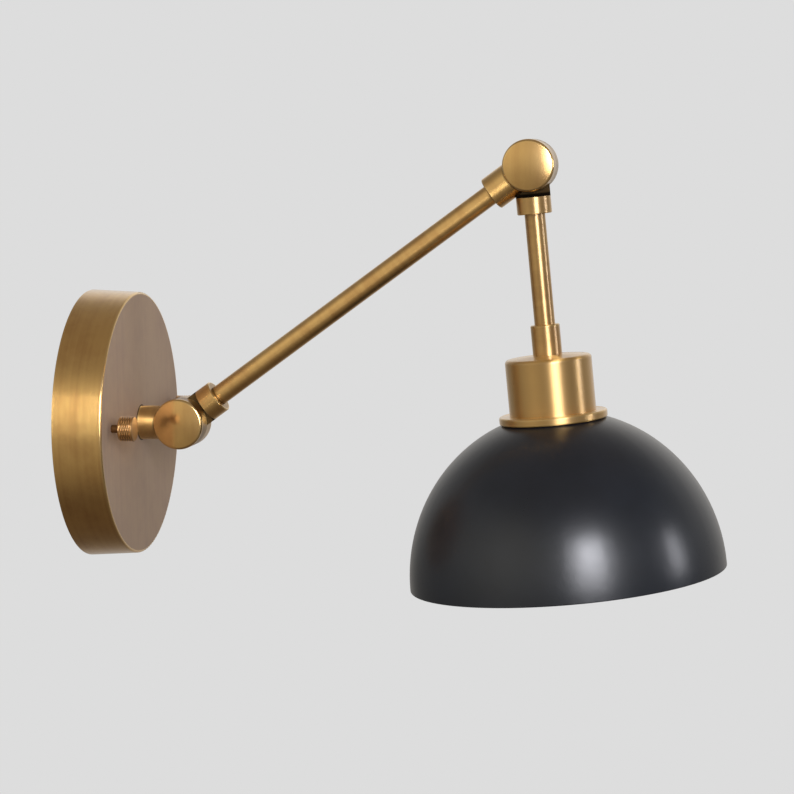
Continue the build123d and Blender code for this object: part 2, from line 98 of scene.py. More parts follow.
# Head: distances along it from the upper pivot, and radii, in millimetres
HOLDER_COLLAR_TOP, HOLDER_COLLAR_RADIUS = 73.2, 6.75
CUP_BOTTOM = 114.1
RING_BOTTOM, RING_RADIUS = 117.7, 25.0
SHADE_RIM, SHADE_WALL = 190.8, 1.2
SHADE_RADIUS, SHADE_CROWN = 73.45, 77.08
SKIRT_TOP, SKIRT_RADIUS, SKIRT_BORE = 102.1, 18.75, 17.4
SHELL_TOP, SHELL_HEEL, SHELL_END = 103.9, 106.9, 133.9
SHELL_FLANGE_BORE = 6.0
HOLDER_END = 137.9

# Backplate, studs and thumb nuts: distances from the wall, and radii, in millimetres
PLATE_RADIUS, PLATE_FACE_RADIUS, PLATE_DEPTH = 63.5, 62.2, 23.0
STUD_RADIUS, STUD_TIP = 1.25, 32.0
NUT_RADIUS, NUT_SHOULDER_RADIUS, NUT_FACE, NUT_TIP = 5.8, 1.9, 27.2, 34.0
KNURL_END = 33.3

# Turn of the drawn-out highlights on the head, as a part of a full turn
QUARTER_TURN = 0.25


class LampColours(bpy.types.PropertyGroup):
    """Colours of the finishes, as linear values."""

    brass: FloatVectorProperty(
        name="Brass", description="Reflection of the lacquered brass seen straight on",
        default=(0.82, 0.51, 0.165), subtype="COLOR", min=0, max=1)
    patina: FloatVectorProperty(
        name="Patina", description="Browner brass in the aged patches and the brush lines",
        default=(0.58, 0.30, 0.08), subtype="COLOR", min=0, max=1)
    # The face's rougher, duller finish is real; its darker grey tone is painted in, standing for the dim grey room
    # that the face reflects.
    face: FloatVectorProperty(
        name="Plate face", description="Dull grey-brown brass of the backplate's face",
        default=(0.49, 0.42, 0.39), subtype="COLOR", min=0, max=1)
    # Dark colour for painted shade in the knuckles' gaps and painted shadow lines at the joints, and for the dirty
    # knurl cuts of the nuts.
    dirt_and_shade: FloatVectorProperty(
        name="Grime", description="Dark film in the seams and the gaps of the knuckles",
        default=(0.022, 0.016, 0.011), subtype="COLOR", min=0, max=1)
    worn: FloatVectorProperty(
        name="Worn brass", description="Paler brass where the edges are rubbed",
        default=(0.90, 0.62, 0.24), subtype="COLOR", min=0, max=1)
    nut_brass: FloatVectorProperty(
        name="Nut brass", description="Coppery brass of the knurled thumb nuts",
        default=(0.80, 0.43, 0.14), subtype="COLOR", min=0, max=1)
    paint: FloatVectorProperty(
        name="Shade outside", description="Satin black paint of the shade",
        default=(0.0035, 0.006, 0.0115), subtype="COLOR", min=0, max=1)
    inside: FloatVectorProperty(
        name="Shade inside", description="White enamel inside the shade",
        default=(0.78, 0.77, 0.73), subtype="COLOR", min=0, max=1)
    porcelain: FloatVectorProperty(
        name="Porcelain", description="Glazed insulator of the lampholder",
        default=(0.80, 0.78, 0.72), subtype="COLOR", min=0, max=1)
    zinc: FloatVectorProperty(
        name="Zinc", description="Zinc plate on the strap, studs, nuts, nipple and washers",
        default=(0.58, 0.58, 0.56), subtype="COLOR", min=0, max=1)
    earth: FloatVectorProperty(
        name="Earth screw", description="Green dye on the earth screw",
        default=(0.03, 0.24, 0.08), subtype="COLOR", min=0, max=1)
    live: FloatVectorProperty(
        name="Live wire", description="Insulation of the live wires",
        default=(0.02, 0.02, 0.022), subtype="COLOR", min=0, max=1)
    neutral: FloatVectorProperty(
        name="Neutral wire", description="Insulation of the neutral wires",
        default=(0.74, 0.73, 0.69), subtype="COLOR", min=0, max=1)
    fibre: FloatVectorProperty(
        name="Fibre", description="Friction washers between the knuckles' halves",
        default=(0.24, 0.055, 0.03), subtype="COLOR", min=0, max=1)


class LampGrain(bpy.types.PropertyGroup):
    """The brushed and lacquered surface of the brass, and the paint's texture."""

    line_spacing: FloatProperty(
        name="Line spacing", description="Distance between brush lines",
        default=0.00045, min=0.0001, max=0.01, precision=5, unit="LENGTH")
    patch_size: FloatProperty(
        name="Patch size", description="Size of the patina's patches",
        default=0.016, min=0.001, max=0.1, precision=4, unit="LENGTH")
    roughness: FloatProperty(
        name="Roughness", description="Roughness of the plain brass",
        default=0.22, min=0, max=1, subtype="FACTOR")
    face_roughness: FloatProperty(
        name="Face roughness", description="Roughness of the backplate's face",
        default=0.75, min=0, max=1, subtype="FACTOR")
    satin_roughness: FloatProperty(
        name="Satin roughness", description="Roughness of the neck's and the head's brass",
        default=0.47, min=0, max=1, subtype="FACTOR")
    satin_spread: FloatProperty(
        name="Satin spread", description="How far their brushing draws highlights out",
        default=0.95, min=0, max=1, subtype="FACTOR")
    lean: FloatProperty(
        name="Brush lean",
        description="Lean between the layers that spread highlights across brush lines",
        default=0.165, min=0, max=0.5)
    paint_roughness: FloatProperty(
        name="Paint roughness", description="Roughness of the shade's black paint",
        default=0.29, min=0, max=1, subtype="FACTOR")


class LampThreads(bpy.types.PropertyGroup):
    """Threads and knurling."""

    stud_pitch: FloatProperty(
        name="Stud pitch", description="Thread pitch of the strap's studs",
        default=0.00045, min=0.0002, max=0.003, precision=5, unit="LENGTH")
    skirt_pitch: FloatProperty(
        name="Skirt pitch", description="Thread pitch of the lampholder's skirt",
        default=0.0025, min=0.001, max=0.006, precision=5, unit="LENGTH")
    shell_pitch: FloatProperty(
        name="Shell pitch", description="Thread pitch of the bulb's screw shell",
        default=0.00363, min=0.001, max=0.006, precision=5, unit="LENGTH")
    shell_depth: FloatProperty(
        name="Shell depth", description="Depth of the bulb thread",
        default=0.0007, min=0.0001, max=0.002, precision=5, unit="LENGTH")
    knurl_pitch: FloatProperty(
        name="Knurl pitch", description="Distance between knurl grooves along a thumb nut",
        default=0.00112, min=0.0004, max=0.003, precision=5, unit="LENGTH")
    knurl_depth: FloatProperty(
        name="Knurl depth", description="Depth of the knurl grooves",
        default=0.00042, min=0, max=0.001, precision=5, unit="LENGTH")
    knurl_count: IntProperty(
        name="Knurl count", description="Grooves around a thumb nut, one way",
        default=8, min=3, max=60)


class LampStudio(bpy.types.PropertyGroup):
    """Background, lights and camera."""

    background: FloatProperty(
        name="Background", description="Grey level of the backdrop",
        default=0.723, min=0, max=1, subtype="FACTOR")
    surround: FloatProperty(
        name="Surround", description="Level of the soft studio around the lamp",
        default=1.0, min=0, max=4)
    lamp_tint: FloatVectorProperty(
        name="Lamp tint", description="Colour of the softboxes",
        default=(0.985, 0.99, 1.06), subtype="COLOR", min=0, max=2)
    key: FloatProperty(
        name="Key", description="Brightness of the main softbox, front right, in its middle",
        default=18.5, min=0, max=100)
    side: FloatProperty(
        name="Side", description="Brightness of the narrow softbox on the right",
        default=6.2, min=0, max=100)
    floor_level: FloatProperty(
        name="Floor", description="Height of the floor below the lamp's origin",
        default=-0.85, min=-3, max=0, unit="LENGTH")
    focal_length: FloatProperty(
        name="Focal length", description="Lens for a 36 mm sensor, in millimetres",
        default=105.906, min=10, max=500)
    azimuth: FloatProperty(
        name="Azimuth", description="Camera's turn from straight in front of the arm's side",
        default=radians(11.026), unit="ROTATION")
    elevation: FloatProperty(
        name="Elevation", description="Camera's angle above level",
        default=radians(6.034), unit="ROTATION")
    roll: FloatProperty(
        name="Roll", description="Camera's turn about its own axis",
        default=radians(-0.935), unit="ROTATION")
    place: FloatVectorProperty(
        name="Camera", description="Camera's place",
        default=(0.354948, -1.064866, 0.127284), subtype="TRANSLATION", unit="LENGTH")


class WallLamp(bpy.types.PropertyGroup):
    """All the lamp's settings."""

    colours: PointerProperty(type=LampColours, name="Colours", description="Colours of the finishes")
    grain: PointerProperty(type=LampGrain, name="Grain", description="Surface of the metal and paint")
    threads: PointerProperty(type=LampThreads, name="Threads", description="Threads and knurling")
    studio: PointerProperty(type=LampStudio, name="Studio", description="Backdrop, lights and camera")


class Value:
    """A socket in a node tree. Arithmetic on it adds Math nodes to the same tree."""

    def __init__(self, tree, socket=None):
        self.tree, self.socket = tree, socket

    def node(self, kind, settings=None, inputs=None, output=0):
        """Adds a node, with its settings first and then its sockets; returns one of its outputs."""
        node = self.tree.nodes.new(kind)
        for name, setting in (settings or {}).items():
            if name == "stops":
                ramp = node.color_ramp
                while len(ramp.elements) < len(setting):
                    ramp.elements.new(0.5)
                for element, (position, *colour) in zip(ramp.elements, setting):
                    element.position = position
                    element.color = (*colour, 1)
            else:
                setattr(node, name, setting)
        for name, value in (inputs or {}).items():
            if isinstance(value, Value):
                self.tree.links.new(value.socket, node.inputs[name])
            else:
                node.inputs[name].default_value = value
        return Value(self.tree, node.outputs[output] if node.outputs else None)

    def math(self, operation, other, swapped=False):
        first, second = (other, self) if swapped else (self, other)
        return self.node("ShaderNodeMath", {"operation": operation}, {0: first, 1: second})

    def __add__(self, other):
        return self.math("ADD", other)

    def __sub__(self, other):
        return self.math("SUBTRACT", other)

    def __mul__(self, other):
        return self.math("MULTIPLY", other)

    def __truediv__(self, other):
        return self.math("DIVIDE", other)

    def __rsub__(self, other):
        return self.math("SUBTRACT", other, True)

    def __rtruediv__(self, other):
        return self.math("DIVIDE", other, True)

    __radd__ = __add__
    __rmul__ = __mul__

    def most(self, other):
        return self.math("MAXIMUM", other)

    def size(self):
        return self.math("ABSOLUTE", 0)

    def step(self, low, high):
        """0 below low, 1 above high, smooth between."""
        return self.node(
            "ShaderNodeMapRange", {"interpolation_type": "SMOOTHSTEP"},
            {"Value": self, "From Min": low, "From Max": high})

    def step_mm(self, low, high):
        return self.step(low * MM, high * MM)

    def vector(self, operation, other=None, output=0):
        inputs = {0: self} if other is None else {0: self, 1: other}
        return self.node("ShaderNodeVectorMath", {"operation": operation}, inputs, output)

    def along(self, direction):
        return self.vector("DOT_PRODUCT", tuple(direction), "Value")

    def times(self, factor):
        return self.node("ShaderNodeVectorMath", {"operation": "SCALE"}, {0: self, "Scale": factor})

    def stretch(self, direction):
        """A constant direction times this value."""
        return self.node(
            "ShaderNodeVectorMath", {"operation": "SCALE"}, {0: tuple(direction), "Scale": self})

    def noise(self, scale, detail=2.0, roughness=0.5):
        return self.node(
            "ShaderNodeTexNoise", None,
            {"Vector": self, "Scale": scale, "Detail": detail, "Roughness": roughness})

    def blend(self, first, second):
        """Mixes two colours by this value."""
        picked = [colour if isinstance(colour, Value) else (*colour, 1) for colour in (first, second)]
        return self.node(
            "ShaderNodeMix", {"data_type": "RGBA"}, {0: self, 6: picked[0], 7: picked[1]}, 2)

    def bump(self, distance):
        return self.node("ShaderNodeBump", None, {"Height": self, "Distance": distance})


def start_material(name):
    """A new material with an empty tree, and the lamp's own coordinates in it."""
    material = bpy.data.materials.new(name)
    material.use_nodes = True
    material.node_tree.nodes.clear()
    place = Value(material.node_tree).node("ShaderNodeTexCoord", None, None, "Object")
    return material, place


def set_surface(place, inputs):
    """Gives the material its shader."""
    shader = place.node("ShaderNodeBsdfPrincipled", None, inputs)
    place.node("ShaderNodeOutputMaterial", None, {"Surface": shader})


def turned_frame(place, origin, axis):
    """Distance along an axis, distance from it, and the direction away from it."""
    from_origin = place.vector("SUBTRACT", tuple(origin))
    distance = from_origin.along(axis)
    radial = from_origin.vector("SUBTRACT", distance.stretch(axis))
    return distance, radial.vector("LENGTH", None, "Value"), radial.vector("NORMALIZE")


def ring_nearness(place, origin, axis, rings, width):
    """1 on circles (distance along the axis, radius), falling to 0 at a width from them."""
    distance, radius, _ = turned_frame(place, origin, axis)
    nearest = None
    for ring_distance, ring_radius in rings:
        gap = distance - ring_distance * MM
        reach = radius - ring_radius * MM
        near = 1 - (gap * gap + reach * reach).step(0, (width * MM) ** 2)
        nearest = near if nearest is None else nearest.most(near)
    return nearest


def turned(place, origin, axis):
    """Brush lines round an axis: their direction, and coordinates that change fast across them."""
    distance, radius, away = turned_frame(place, origin, axis)
    around = away.vector("CROSS_PRODUCT", tuple(axis))
    return around, away.times(MM).vector("ADD", (distance + radius).stretch(axis))


def straight(place, direction):
    """Brush lines along a direction, given as turned gives them."""
    slow = (place.along(direction) * 0.985).stretch(direction)
    return tuple(direction), place.vector("SUBTRACT", slow)


def tilted(place, lines, slope):
    """The surface's normal, leaning across the brush lines by a slope."""
    normal = place.node("ShaderNodeNewGeometry", None, None, "Normal")
    to_world = {"vector_type": "VECTOR", "convert_from": "OBJECT", "convert_to": "WORLD"}
    lay = place.node("ShaderNodeVectorTransform", to_world, {0: lines})
    across = normal.vector("CROSS_PRODUCT", lay)
    return normal.vector("ADD", across.times(slope)).vector("NORMALIZE")


def layered(place, inputs, lines, lean):
    """One shader mixed of five, whose normals lean across the brush lines by steps of a slope."""
    whole, total = None, 0
    for part, weight in ((0, 8), (-1, 4), (1, 4), (-2, 1), (2, 1)):
        leaning = inputs | {"Normal": tilted(place, lines, part * lean)}
        layer = place.node("ShaderNodeBsdfPrincipled", None, leaning)
        total += weight
        whole = layer if whole is None else layer.node(
            "ShaderNodeMixShader", None, {0: weight / total, 1: whole, 2: layer})
    return whole


def near_any(place, circles, width):
    """1 on the nearest of the circles that (origin, axis, rings) list."""
    nearest = None
    for origin, axis, rings in circles:
        near = ring_nearness(place, origin, axis, rings, width)
        nearest = near if nearest is None else nearest.most(near)
    return nearest


def brass(settings, name, brushing, edges=(), shadow_lines=(), roughness=None, colour=None, patina=0.55,
          satin=None, scratched=0, face=None, dirt_and_shade=None):
    """Lacquered antique brass.

    brushing gives the brush lines of a place. edges and the list after it give (origin, axis, rings) of
    the edges that are rubbed paler and of the joints that get a painted shadow line. satin draws highlights
    out, turned by a part of a turn from level; scratched, a part of the grain's lean, does so across the
    brush lines. face gives the flat face of a place, rougher and given a darker grey tone that is painted
    in for the dim room it reflects; the last argument gives the dark layer on it: dirty knurl cuts, and
    painted shade in the knuckles' gaps and on the nuts' shoulders and tips.
    """
    edge_width, shadow_line_width = 1.1, 0.55
    worn_tint, worn_polish = 0.7, 0.05
    face_tint, shadow_line_darkness, film_roughness = 0.75, 0.75, 0.3
    colours, grain = settings.colours, settings.grain
    material, place = start_material(name)
    direction, across = brushing(place)
    lines = across.noise(1 / grain.line_spacing, 2.0)
    streaks = across.noise(0.16 / grain.line_spacing, 3.0)
    patches = place.noise(1 / grain.patch_size, 4.0, 0.6)
    aged = (patches * 0.7 + streaks * 0.45).step(0.42, 0.80) * patina + (lines - 0.5) * 0.15
    tint = aged.blend(colour or colours.brass, colours.patina)
    plain = roughness or (grain.roughness if satin is None else grain.satin_roughness)
    coat = 1.0
    rough = plain + (lines - 0.5) * 0.03 + (patches - 0.5) * 0.05
    if edges:
        worn = near_any(place, edges, edge_width) * (0.35 + 0.65 * patches.step(0.35, 0.6))
        tint = (worn * worn_tint).blend(tint, colours.worn)
        rough = rough - worn * worn_polish
    # The flat face: rougher, without lacquer, and a darker grey tone painted in for the dim room it reflects.
    if face:
        flat = face(place)
        tint = (flat * face_tint).blend(tint, colours.face)
        rough = rough + flat * (grain.face_roughness - plain)
        coat = 1 - flat
    # The dark layer: painted shade and painted shadow lines, and on the nuts dirty knurl cuts.
    dirt_and_shade_film = dirt_and_shade(place) if dirt_and_shade else None
    # Painted shadow lines where pieces meet.
    if shadow_lines:
        shadow_line_shade = near_any(place, shadow_lines, shadow_line_width) * shadow_line_darkness
        dirt_and_shade_film = dirt_and_shade_film.most(shadow_line_shade) if dirt_and_shade_film else shadow_line_shade
    if dirt_and_shade_film:
        tint = dirt_and_shade_film.blend(tint, colours.dirt_and_shade)
        rough = rough + dirt_and_shade_film * film_roughness
        coat = coat * (1 - dirt_and_shade_film)
    inputs = {
        "Base Color": tint, "Metallic": 1.0, "Roughness": rough,
        "Coat Weight": coat, "Coat Roughness": 0.25, "Coat IOR": 1.6,
    }
    if satin is not None:
        inputs |= {"Anisotropic": grain.satin_spread, "Anisotropic Rotation": satin}
    if scratched:
        lean = grain.lean * scratched * ((1 - flat) if face else 1)
        shader = layered(place, inputs, direction, lean)
        place.node("ShaderNodeOutputMaterial", None, {"Surface": shader})
    else:
        set_surface(place, inputs)
    return material


def dress(material, *nodes):
    """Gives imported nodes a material."""
    for node in nodes:
        for slot in frame["nodes"][node].material_slots:
            slot.material = material


def new_object(bm, name, material):
    """Makes an object of a finished mesh."""
    mesh = bpy.data.meshes.new(name)
    bm.to_mesh(mesh)
    bm.free()
    mesh.materials.append(material)
    made = bpy.data.objects.new(name, mesh)
    bpy.context.scene.collection.objects.link(made)
    return made


def place_piece(bm, name, body, material, replaced, sharp=35):
    """Makes a piece of a finished mesh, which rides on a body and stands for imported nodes."""
    for face in bm.faces:
        face.smooth = True
    for edge in bm.edges:
        edge.smooth = len(edge.link_faces) == 2 and edge.calc_face_angle() < radians(sharp)
    piece = new_object(bm, name, material)
    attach(piece, body)
    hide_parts(*replaced)


def nut_foot(nut):
    """Where a thumb nut's axis meets the wall."""
    low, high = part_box(nut)
    return Vector((0, (low.y + high.y) / 2, (low.z + high.z) / 2))


def turn_towards(axis, origin):
    """Takes a piece made along +Z at the origin to its axis on the lamp."""
    return Matrix.Translation(origin) @ axis.to_track_quat("Z", "Y").to_matrix().to_4x4()


def spun(bm, points, steps, lift=0.0):
    """Turns (radius, height) points round Z, rising by lift in the turn, and joins the seam."""
    corners = [bm.verts.new((radius, 0, height)) for radius, height in points]
    lines = [bm.edges.new(pair) for pair in zip(corners, corners[1:])]
    bmesh.ops.spin(
        bm, geom=corners + lines, cent=(0, 0, 0), axis=(0, 0, 1), dvec=(0, 0, lift / steps),
        angle=tau, steps=steps, use_merge=lift == 0, use_duplicate=False)
    bmesh.ops.remove_doubles(bm, verts=bm.verts, dist=1e-7)


def open_loops(bm):
    """The open edges of a tube, lower loop first."""
    rims = [edge for edge in bm.edges if edge.is_boundary]
    middle = sum(edge.verts[0].co.z for edge in rims) / len(rims)
    low = [edge for edge in rims if edge.verts[0].co.z < middle]
    high = [edge for edge in rims if edge.verts[0].co.z >= middle]
    return low, high


def threaded_tube(bm, wave, pitch, low, high, steps):
    """A helical surface about Z between two heights; wave gives one pitch as (part of it, radius)."""
    first = low - 2 * pitch
    turns = ceil((high - low) / pitch) + 4
    points = [
        (radius, first + (turn + part) * pitch) for turn in range(turns) for part, radius in wave]
    spun(bm, points, steps, pitch)
    for height, sign in ((low, -1), (high, 1)):
        bmesh.ops.bisect_plane(
            bm, geom=bm.verts[:] + bm.edges[:] + bm.faces[:], dist=1e-8,
            plane_co=(0, 0, height), plane_no=(0, 0, sign), clear_outer=True)


def v_wave(crest, root):
    """One pitch of a V thread with small flats."""
    return ((0.0, root), (0.12, root), (0.45, crest), (0.67, crest))


def pull_loop(bm, edges, radius, height):
    """Extrudes an open loop to a circle and returns the new loop."""
    made = bmesh.ops.extrude_edge_only(bm, edges=edges)["geom"]
    for vert in (item for item in made if isinstance(item, bmesh.types.BMVert)):
        flat = Vector((vert.co.x, vert.co.y)).normalized() * radius
        vert.co = (flat.x, flat.y, height)
    return [item for item in made if isinstance(item, bmesh.types.BMEdge) and item.is_boundary]


class WALLLAMP_OT_stage(bpy.types.Operator):
    """Sets up the backdrop, the floor, the lights and the camera"""

    bl_idname = "wall_lamp.stage"
    bl_label = "Stage"

    def execute(self, context):
        studio = context.scene.wall_lamp.studio
        context.scene.view_settings.view_transform = "Standard"
        self.camera(context, studio)
        self.surround(context, studio)
        self.floor(studio)
        # Name, bearing and elevation in degrees, distance, width and height in metres, radiance
        lights = (
            ("key_middle", 26.0, 20.0, 1.50, 0.28, 0.30, studio.key * 0.44),
            ("key_softbox", 26.0, 16.0, 1.52, 0.50, 0.60, studio.key * 0.30),
            ("key_edge", 26.0, 11.4, 1.54, 0.61, 0.92, studio.key * 0.28),
            ("side_softbox", 91.5, 7.5, 1.5, 0.27, 0.48, studio.side),
        )
        for light in lights:
            self.softbox(context, studio.lamp_tint, *light)
        return {"FINISHED"}

    def camera(self, context, studio):
        """A camera turned by the studio's three angles."""
        back = Vector((
            sin(studio.azimuth) * cos(studio.elevation),
            -cos(studio.azimuth) * cos(studio.elevation),
            sin(studio.elevation),
        ))
        level = Vector((cos(studio.azimuth), sin(studio.azimuth), 0))
        upright = back.cross(level)
        right = cos(studio.roll) * level + sin(studio.roll) * upright
        top = cos(studio.roll) * upright - sin(studio.roll) * level
        data = bpy.data.cameras.new("camera")
        data.sensor_width = 36
        data.lens = studio.focal_length
        data.clip_start = 0.01
        camera = bpy.data.objects.new("camera", data)
        facing = Matrix((right, top, back)).transposed().to_4x4()
        camera.matrix_world = Matrix.Translation(studio.place) @ facing
        context.scene.collection.objects.link(camera)
        context.scene.camera = camera

    def surround(self, context, studio):
        """A flat backdrop for the camera, and a soft room with brighter and darker sides for the rest."""
        world = bpy.data.worlds.new("studio")
        world.use_nodes = True
        world.node_tree.nodes.clear()
        context.scene.world = world
        start = Value(world.node_tree)
        direction = start.node("ShaderNodeTexCoord", None, None, "Generated")
        height = direction.along(UP) * 0.5 + 0.5
        bearing = direction.along(OUTWARD).math("ARCTAN2", direction.along(-ACROSS)) / tau + 0.5
        by_height = height.node("ShaderNodeValToRGB", {"stops": (
            (0.0, 0.12, 0.09, 0.066), (0.07, 0.13, 0.104, 0.082), (0.23, 0.22, 0.197, 0.169),
            (0.43, 0.345, 0.325, 0.292), (0.5, 0.44, 0.42, 0.385), (0.62, 0.56, 0.535, 0.49),
            (0.75, 0.49, 0.465, 0.425), (0.86, 0.29, 0.265, 0.235), (0.96, 0.31, 0.265, 0.22),
            (1.0, 0.28, 0.24, 0.20),
        )}, {"Fac": height})
        by_bearing = bearing.node("ShaderNodeValToRGB", {"stops": (
            (0.0, 1.7, 1.72, 1.78), (0.07, 1.3, 1.32, 1.38), (0.13, 0.64, 0.66, 0.70),
            (0.23, 0.62, 0.63, 0.66), (0.34, 1.2, 1.18, 1.1), (0.39, 1.5, 1.47, 1.36),
            (0.45, 1.2, 1.17, 1.07), (0.50, 1.0, 0.98, 0.93), (0.62, 1.0, 1.0, 1.0),
            (0.683, 0.72, 0.72, 0.74), (0.80, 0.60, 0.61, 0.64), (0.878, 0.92, 0.94, 0.98),
            (0.95, 1.5, 1.52, 1.58), (1.0, 1.7, 1.72, 1.78),
        )}, {"Fac": bearing})
        steep = (height - 0.5).size().step(0.25, 0.45)
        level = by_height.vector("MULTIPLY", steep.blend(by_bearing, (0.86, 0.86, 0.86)))
        room = level.node("ShaderNodeBackground", None, {"Color": level, "Strength": studio.surround})
        grey = studio.background
        backdrop = start.node("ShaderNodeBackground", None, {"Color": (grey, grey, grey, 1)})
        seen = start.node("ShaderNodeLightPath", None, None, "Is Camera Ray")
        mixed = seen.node("ShaderNodeMixShader", None, {0: seen, 1: room, 2: backdrop})
        mixed.node("ShaderNodeOutputWorld", None, {"Surface": mixed})

    def floor(self, studio):
        """A pale round floor, which reflections don't show."""
        radius, thickness, middle = 0.8, 0.012, 0.15
        bm = bmesh.new()
        bmesh.ops.create_circle(bm, cap_ends=True, segments=128, radius=radius)
        made = bmesh.ops.extrude_face_region(bm, geom=bm.faces[:])["geom"]
        lower = [item for item in made if isinstance(item, bmesh.types.BMVert)]
        bmesh.ops.translate(bm, verts=lower, vec=(0, 0, -thickness))
        bmesh.ops.recalc_face_normals(bm, faces=bm.faces)
        bmesh.ops.translate(bm, verts=bm.verts, vec=(middle, 0, studio.floor_level))
        material, place = start_material("pale_floor")
        speckle = place.noise(60, 4.0)
        tint = speckle.blend((0.60, 0.60, 0.60), (0.66, 0.66, 0.655))
        seen = place.node("ShaderNodeLightPath", None, None, "Is Camera Ray")
        set_surface(place, {
            "Base Color": tint, "Roughness": 0.7 + speckle * 0.1,
            "Emission Color": seen.blend((0, 0, 0), (0.42, 0.42, 0.42)), "Emission Strength": 1.0})
        floor = new_object(bm, "floor", material)
        floor.visible_glossy = False

    def softbox(self, context, tint, name, azimuth, elevation, distance, width, height, radiance):
        """A rectangular light at a bearing from straight in front of the arm's side."""
        turned_by, raised_by = radians(azimuth), radians(elevation)
        level = Vector((sin(turned_by), -cos(turned_by), 0))
        towards = level * cos(raised_by) + UP * sin(raised_by)
        data = bpy.data.lights.new(name, "AREA")
        data.shape = "RECTANGLE"
        data.size, data.size_y = width, height
        data.color = tint
        data.energy = radiance * pi * width * height
        light = bpy.data.objects.new(name, data)
        middle = (Vector(cad_box[0]) + Vector(cad_box[1])) / 2
        turn = towards.to_track_quat("Z", "Y").to_matrix().to_4x4()
        light.matrix_world = Matrix.Translation(middle + towards * distance) @ turn
        light.visible_camera = False
        context.scene.collection.objects.link(light)


class WALLLAMP_OT_backplate(bpy.types.Operator):
    """Finishes the backplate: turned side, brushed face, rubbed front edge"""

    bl_idname = "wall_lamp.backplate"
    bl_label = "Backplate"

    def execute(self, context):
        settings = context.scene.wall_lamp
        rims = [(WALL, OUTWARD, [(PLATE_DEPTH - 0.3, PLATE_FACE_RADIUS - 0.2), (0, PLATE_RADIUS)])]
        # Painted shadow line round the neck's foot on the plate's face.
        neck_foot_shadow = [(WALL, OUTWARD, [(PLATE_DEPTH, COLLAR_RADIUS + 0.15)])]
        finish = brass(
            settings, "backplate_brass", self.brushing, rims, neck_foot_shadow, roughness=0.2, patina=0.75,
            scratched=1, face=self.face)
        dress(finish, "backplate")
        return {"FINISHED"}

    def face(self, place):
        """1 on the flat front face."""
        _, radius, _ = turned_frame(place, WALL, OUTWARD)
        return 1 - radius.step_mm(PLATE_FACE_RADIUS - 1.4, PLATE_FACE_RADIUS - 0.8)

    def brushing(self, place):
        """Turned round its side, brushed up and down on its face."""
        around, side_across = turned(place, WALL, OUTWARD)
        upright, face_across = straight(place, UP)
        face = self.face(place)
        return face.blend(around, upright), face.blend(side_across, face_across)


